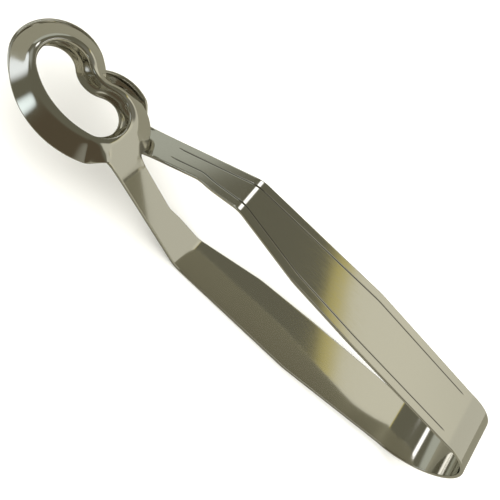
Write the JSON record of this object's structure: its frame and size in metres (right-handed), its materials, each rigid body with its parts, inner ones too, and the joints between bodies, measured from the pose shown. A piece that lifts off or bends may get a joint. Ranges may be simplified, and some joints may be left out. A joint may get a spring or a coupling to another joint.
{
  "type": "spring serving tongs with cup rings",
  "caption": "One-piece spring tongs: a U bow, two flat handles that cross at the necks, and two facing dished kidney-shaped rings that open when the handles are squeezed.",
  "frame": {"origin": "on the resting face, under the widest place of the lower handle, in the tongs' middle plane", "axes": "+X from the bow to the cups, +Z from the lower handle to the upper handle, Y across the strip"},
  "size_m": [0.1567, 0.029, 0.03],
  "materials": {
    "polished_steel": "bright mirror polish, faint lengthwise polishing lines"
  },
  "bodies": {
    "bow": {"spring_bow": "polished_steel"},
    "lower_arm": {"lower_handle": "polished_steel", "rising_neck": "polished_steel", "upper_cup": "polished_steel"},
    "upper_arm": {"upper_handle": "polished_steel", "falling_neck": "polished_steel", "lower_cup": "polished_steel"}
  },
  "joints": [
    {"name": "upper_arm_flex", "type": "hinge", "parent": "bow", "child": "upper_arm", "pos_m": [-0.035, 0, 0.029], "axis": [0, 1, 0], "range_deg": [0, 8], "stiffness_Nm_per_rad": 4, "springref_deg": -1.15},
    {"name": "lower_arm_flex", "type": "hinge", "parent": "bow", "child": "lower_arm", "pos_m": [-0.035, 0, 0.001], "axis": [0, -1, 0], "range_deg": [0, 8], "stiffness_Nm_per_rad": 4, "springref_deg": -1.15}
  ],
  "couplings": [
    {"joint": "lower_arm_flex", "follows": "upper_arm_flex", "ratio": 1}
  ]
}
